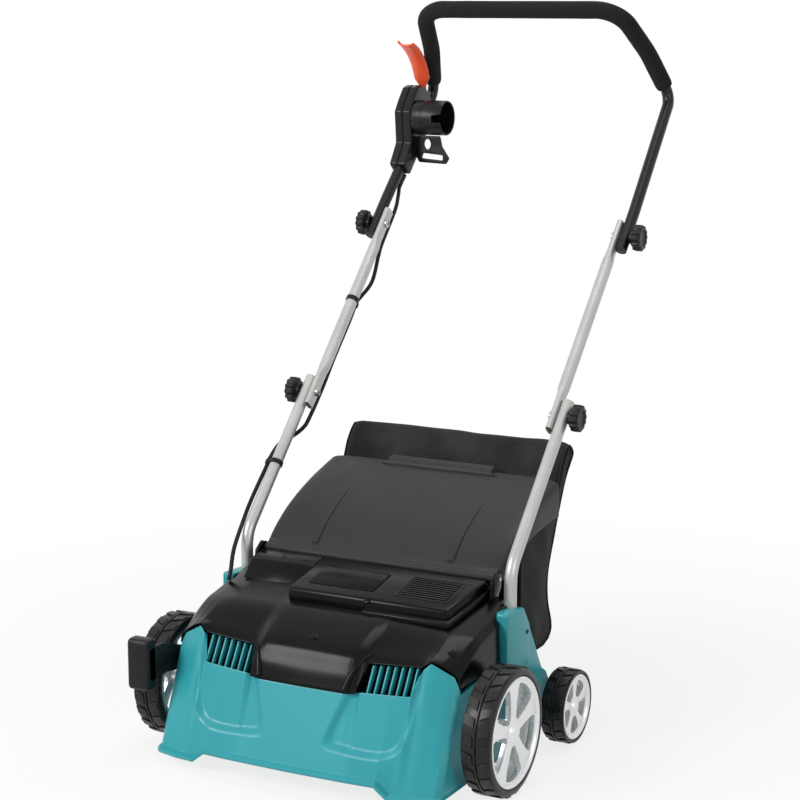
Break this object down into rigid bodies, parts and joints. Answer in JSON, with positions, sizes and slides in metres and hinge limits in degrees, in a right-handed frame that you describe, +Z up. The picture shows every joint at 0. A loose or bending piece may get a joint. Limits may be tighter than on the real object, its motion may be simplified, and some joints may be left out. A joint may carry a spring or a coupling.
{
  "type": "lawn dethatcher",
  "caption": "Walk-behind electric lawn dethatcher: teal deck on silver-rimmed wheels, black motor cover, hinged flap, rear catcher bag and folding tube handle with a switch box.",
  "frame": {"origin": "on the ground under the middle of the whole machine's outline", "axes": "+Z up, the machine faces -Y, its handle and bag are towards +Y, +X is to the right seen from the front"},
  "size_m": [0.599, 0.9054, 1.1164],
  "materials": {
    "badge": "plain glossy plate",
    "bag_cloth": "woven polyester",
    "black_gloss": "moulded, glossy",
    "black_plastic": "moulded, fine grain",
    "black_tube": "black powder coat",
    "brass": "turned",
    "dark_steel": "blued",
    "foam": "closed-cell foam",
    "grey_flap": "moulded, fine grain",
    "motor": "cast, dull",
    "orange_lever": "moulded, satin",
    "rim": "silver moulded plastic",
    "rubber": "smooth",
    "silver_tube": "silver powder coat",
    "steel": "zinc plated",
    "teal_plastic": "moulded, satin",
    "tyre": "hard rubber, moulded tread"
  },
  "bodies": {
    "chassis": {"deck_housing": "teal_plastic", "motor_cover": "black_gloss", "badge_plate": "badge", "cover_screw_left": "dark_steel", "cover_screw_right": "dark_steel", "lower_tube_left": "silver_tube", "lower_tube_right": "silver_tube", "lower_bolt_left": "steel", "lower_bolt_right": "steel", "rear_axle": "steel", "reel_bearing_left": "steel", "reel_bearing_right": "steel", "drive_belt": "rubber", "motor_can": "motor", "flap_pin": "steel", "cable_lower": "rubber", "cable_clip_lower": "black_plastic"},
    "front_crank": {"crank_shaft": "steel", "depth_lever": "black_plastic", "crank_arm": "dark_steel"},
    "front_wheel_left": {"front_wheel_left_tyre": "tyre", "front_wheel_left_rim": "rim"},
    "front_wheel_right": {"front_wheel_right_tyre": "tyre", "front_wheel_right_rim": "rim"},
    "rear_wheel_left": {"rear_wheel_left_tyre": "tyre", "rear_wheel_left_rim": "rim"},
    "rear_wheel_right": {"rear_wheel_right_tyre": "tyre", "rear_wheel_right_rim": "rim"},
    "reel": {"reel_shaft": "steel", "reel_blades": "dark_steel", "reel_pulley": "steel"},
    "motor_rotor": {"motor_shaft": "steel", "motor_pulley": "steel", "cooling_fan": "black_plastic"},
    "flap": {"discharge_flap": "grey_flap"},
    "bag": {"bag_fabric": "bag_cloth", "bag_frame": "steel"},
    "handle_middle": {"middle_tube_left": "silver_tube", "middle_tube_right": "silver_tube", "upper_bolt_left": "steel", "upper_bolt_right": "steel", "cable_middle": "rubber", "cable_clip_middle": "black_plastic"},
    "handle_top": {"upper_handle_tube": "black_tube", "foam_grip": "foam", "switch_box_outer": "black_plastic", "switch_box_inner": "black_plastic", "plug_inlet": "black_plastic", "inlet_pins": "brass", "cord_hook": "black_plastic", "cable_upper": "rubber"},
    "switch_lever_body": {"switch_lever": "orange_lever"},
    "lock_button_body": {"lock_button": "orange_lever"},
    "lower_knob_left_body": {"lower_knob_left": "black_plastic"},
    "lower_knob_right_body": {"lower_knob_right": "black_plastic"},
    "upper_knob_left_body": {"upper_knob_left": "black_plastic"},
    "upper_knob_right_body": {"upper_knob_right": "black_plastic"}
  },
  "joints": [
    {"name": "depth_lever_turn", "type": "hinge", "parent": "chassis", "child": "front_crank", "pos_m": [0, -0.28024, 0.117], "axis": [1, 0, 0], "range_deg": [-60, 0]},
    {"name": "front_wheel_left_spin", "type": "hinge", "parent": "front_crank", "child": "front_wheel_left", "pos_m": [0, -0.30623, 0.095], "axis": [1, 0, 0], "continuous": true},
    {"name": "front_wheel_right_spin", "type": "hinge", "parent": "front_crank", "child": "front_wheel_right", "pos_m": [0, -0.30623, 0.095], "axis": [1, 0, 0], "continuous": true},
    {"name": "rear_wheel_left_spin", "type": "hinge", "parent": "chassis", "child": "rear_wheel_left", "pos_m": [0, -0.06524, 0.0575], "axis": [1, 0, 0], "continuous": true},
    {"name": "rear_wheel_right_spin", "type": "hinge", "parent": "chassis", "child": "rear_wheel_right", "pos_m": [0, -0.06524, 0.0575], "axis": [1, 0, 0], "continuous": true},
    {"name": "reel_spin", "type": "hinge", "parent": "chassis", "child": "reel", "pos_m": [0, -0.19123, 0.074], "axis": [1, 0, 0], "continuous": true},
    {"name": "motor_spin", "type": "hinge", "parent": "chassis", "child": "motor_rotor", "pos_m": [0, -0.30423, 0.172], "axis": [1, 0, 0], "continuous": true},
    {"name": "flap_swing", "type": "hinge", "parent": "chassis", "child": "flap", "pos_m": [0, -0.17023, 0.2745], "axis": [1, 0, 0], "range_deg": [0, 70]},
    {"name": "bag_pull", "type": "slide", "parent": "chassis", "child": "bag", "axis": [0, 1, 0], "range_m": [0, 0.25]},
    {"name": "handle_middle_fold", "type": "hinge", "parent": "chassis", "child": "handle_middle", "pos_m": [0, 0.00677, 0.491], "axis": [1, 0, 0], "range_deg": [0, 100]},
    {"name": "handle_top_fold", "type": "hinge", "parent": "handle_middle", "child": "handle_top", "pos_m": [0, 0.24677, 0.743], "axis": [1, 0, 0], "range_deg": [0, 100]},
    {"name": "switch_lever_squeeze", "type": "hinge", "parent": "handle_top", "child": "switch_lever_body", "pos_m": [-0.2265, 0.40576, 0.95], "axis": [1, 0, 0], "range_deg": [-4, 0], "stiffness_Nm_per_rad": 2},
    {"name": "lock_button_press", "type": "slide", "parent": "handle_top", "child": "lock_button_body", "axis": [1, 0, 0], "range_m": [0, 0.0025], "stiffness_N_per_m": 400},
    {"name": "lower_knob_left_turn", "type": "hinge", "parent": "chassis", "child": "lower_knob_left_body", "pos_m": [0, 0.00677, 0.491], "axis": [1, 0, 0], "continuous": true},
    {"name": "upper_knob_left_turn", "type": "hinge", "parent": "handle_middle", "child": "upper_knob_left_body", "pos_m": [0, 0.24677, 0.743], "axis": [1, 0, 0], "continuous": true},
    {"name": "lower_knob_right_turn", "type": "hinge", "parent": "chassis", "child": "lower_knob_right_body", "pos_m": [0, 0.00677, 0.491], "axis": [1, 0, 0], "continuous": true},
    {"name": "upper_knob_right_turn", "type": "hinge", "parent": "handle_middle", "child": "upper_knob_right_body", "pos_m": [0, 0.24677, 0.743], "axis": [1, 0, 0], "continuous": true}
  ],
  "couplings": [
    {"joint": "motor_spin", "follows": "reel_spin", "ratio": 1.8333}
  ]
}
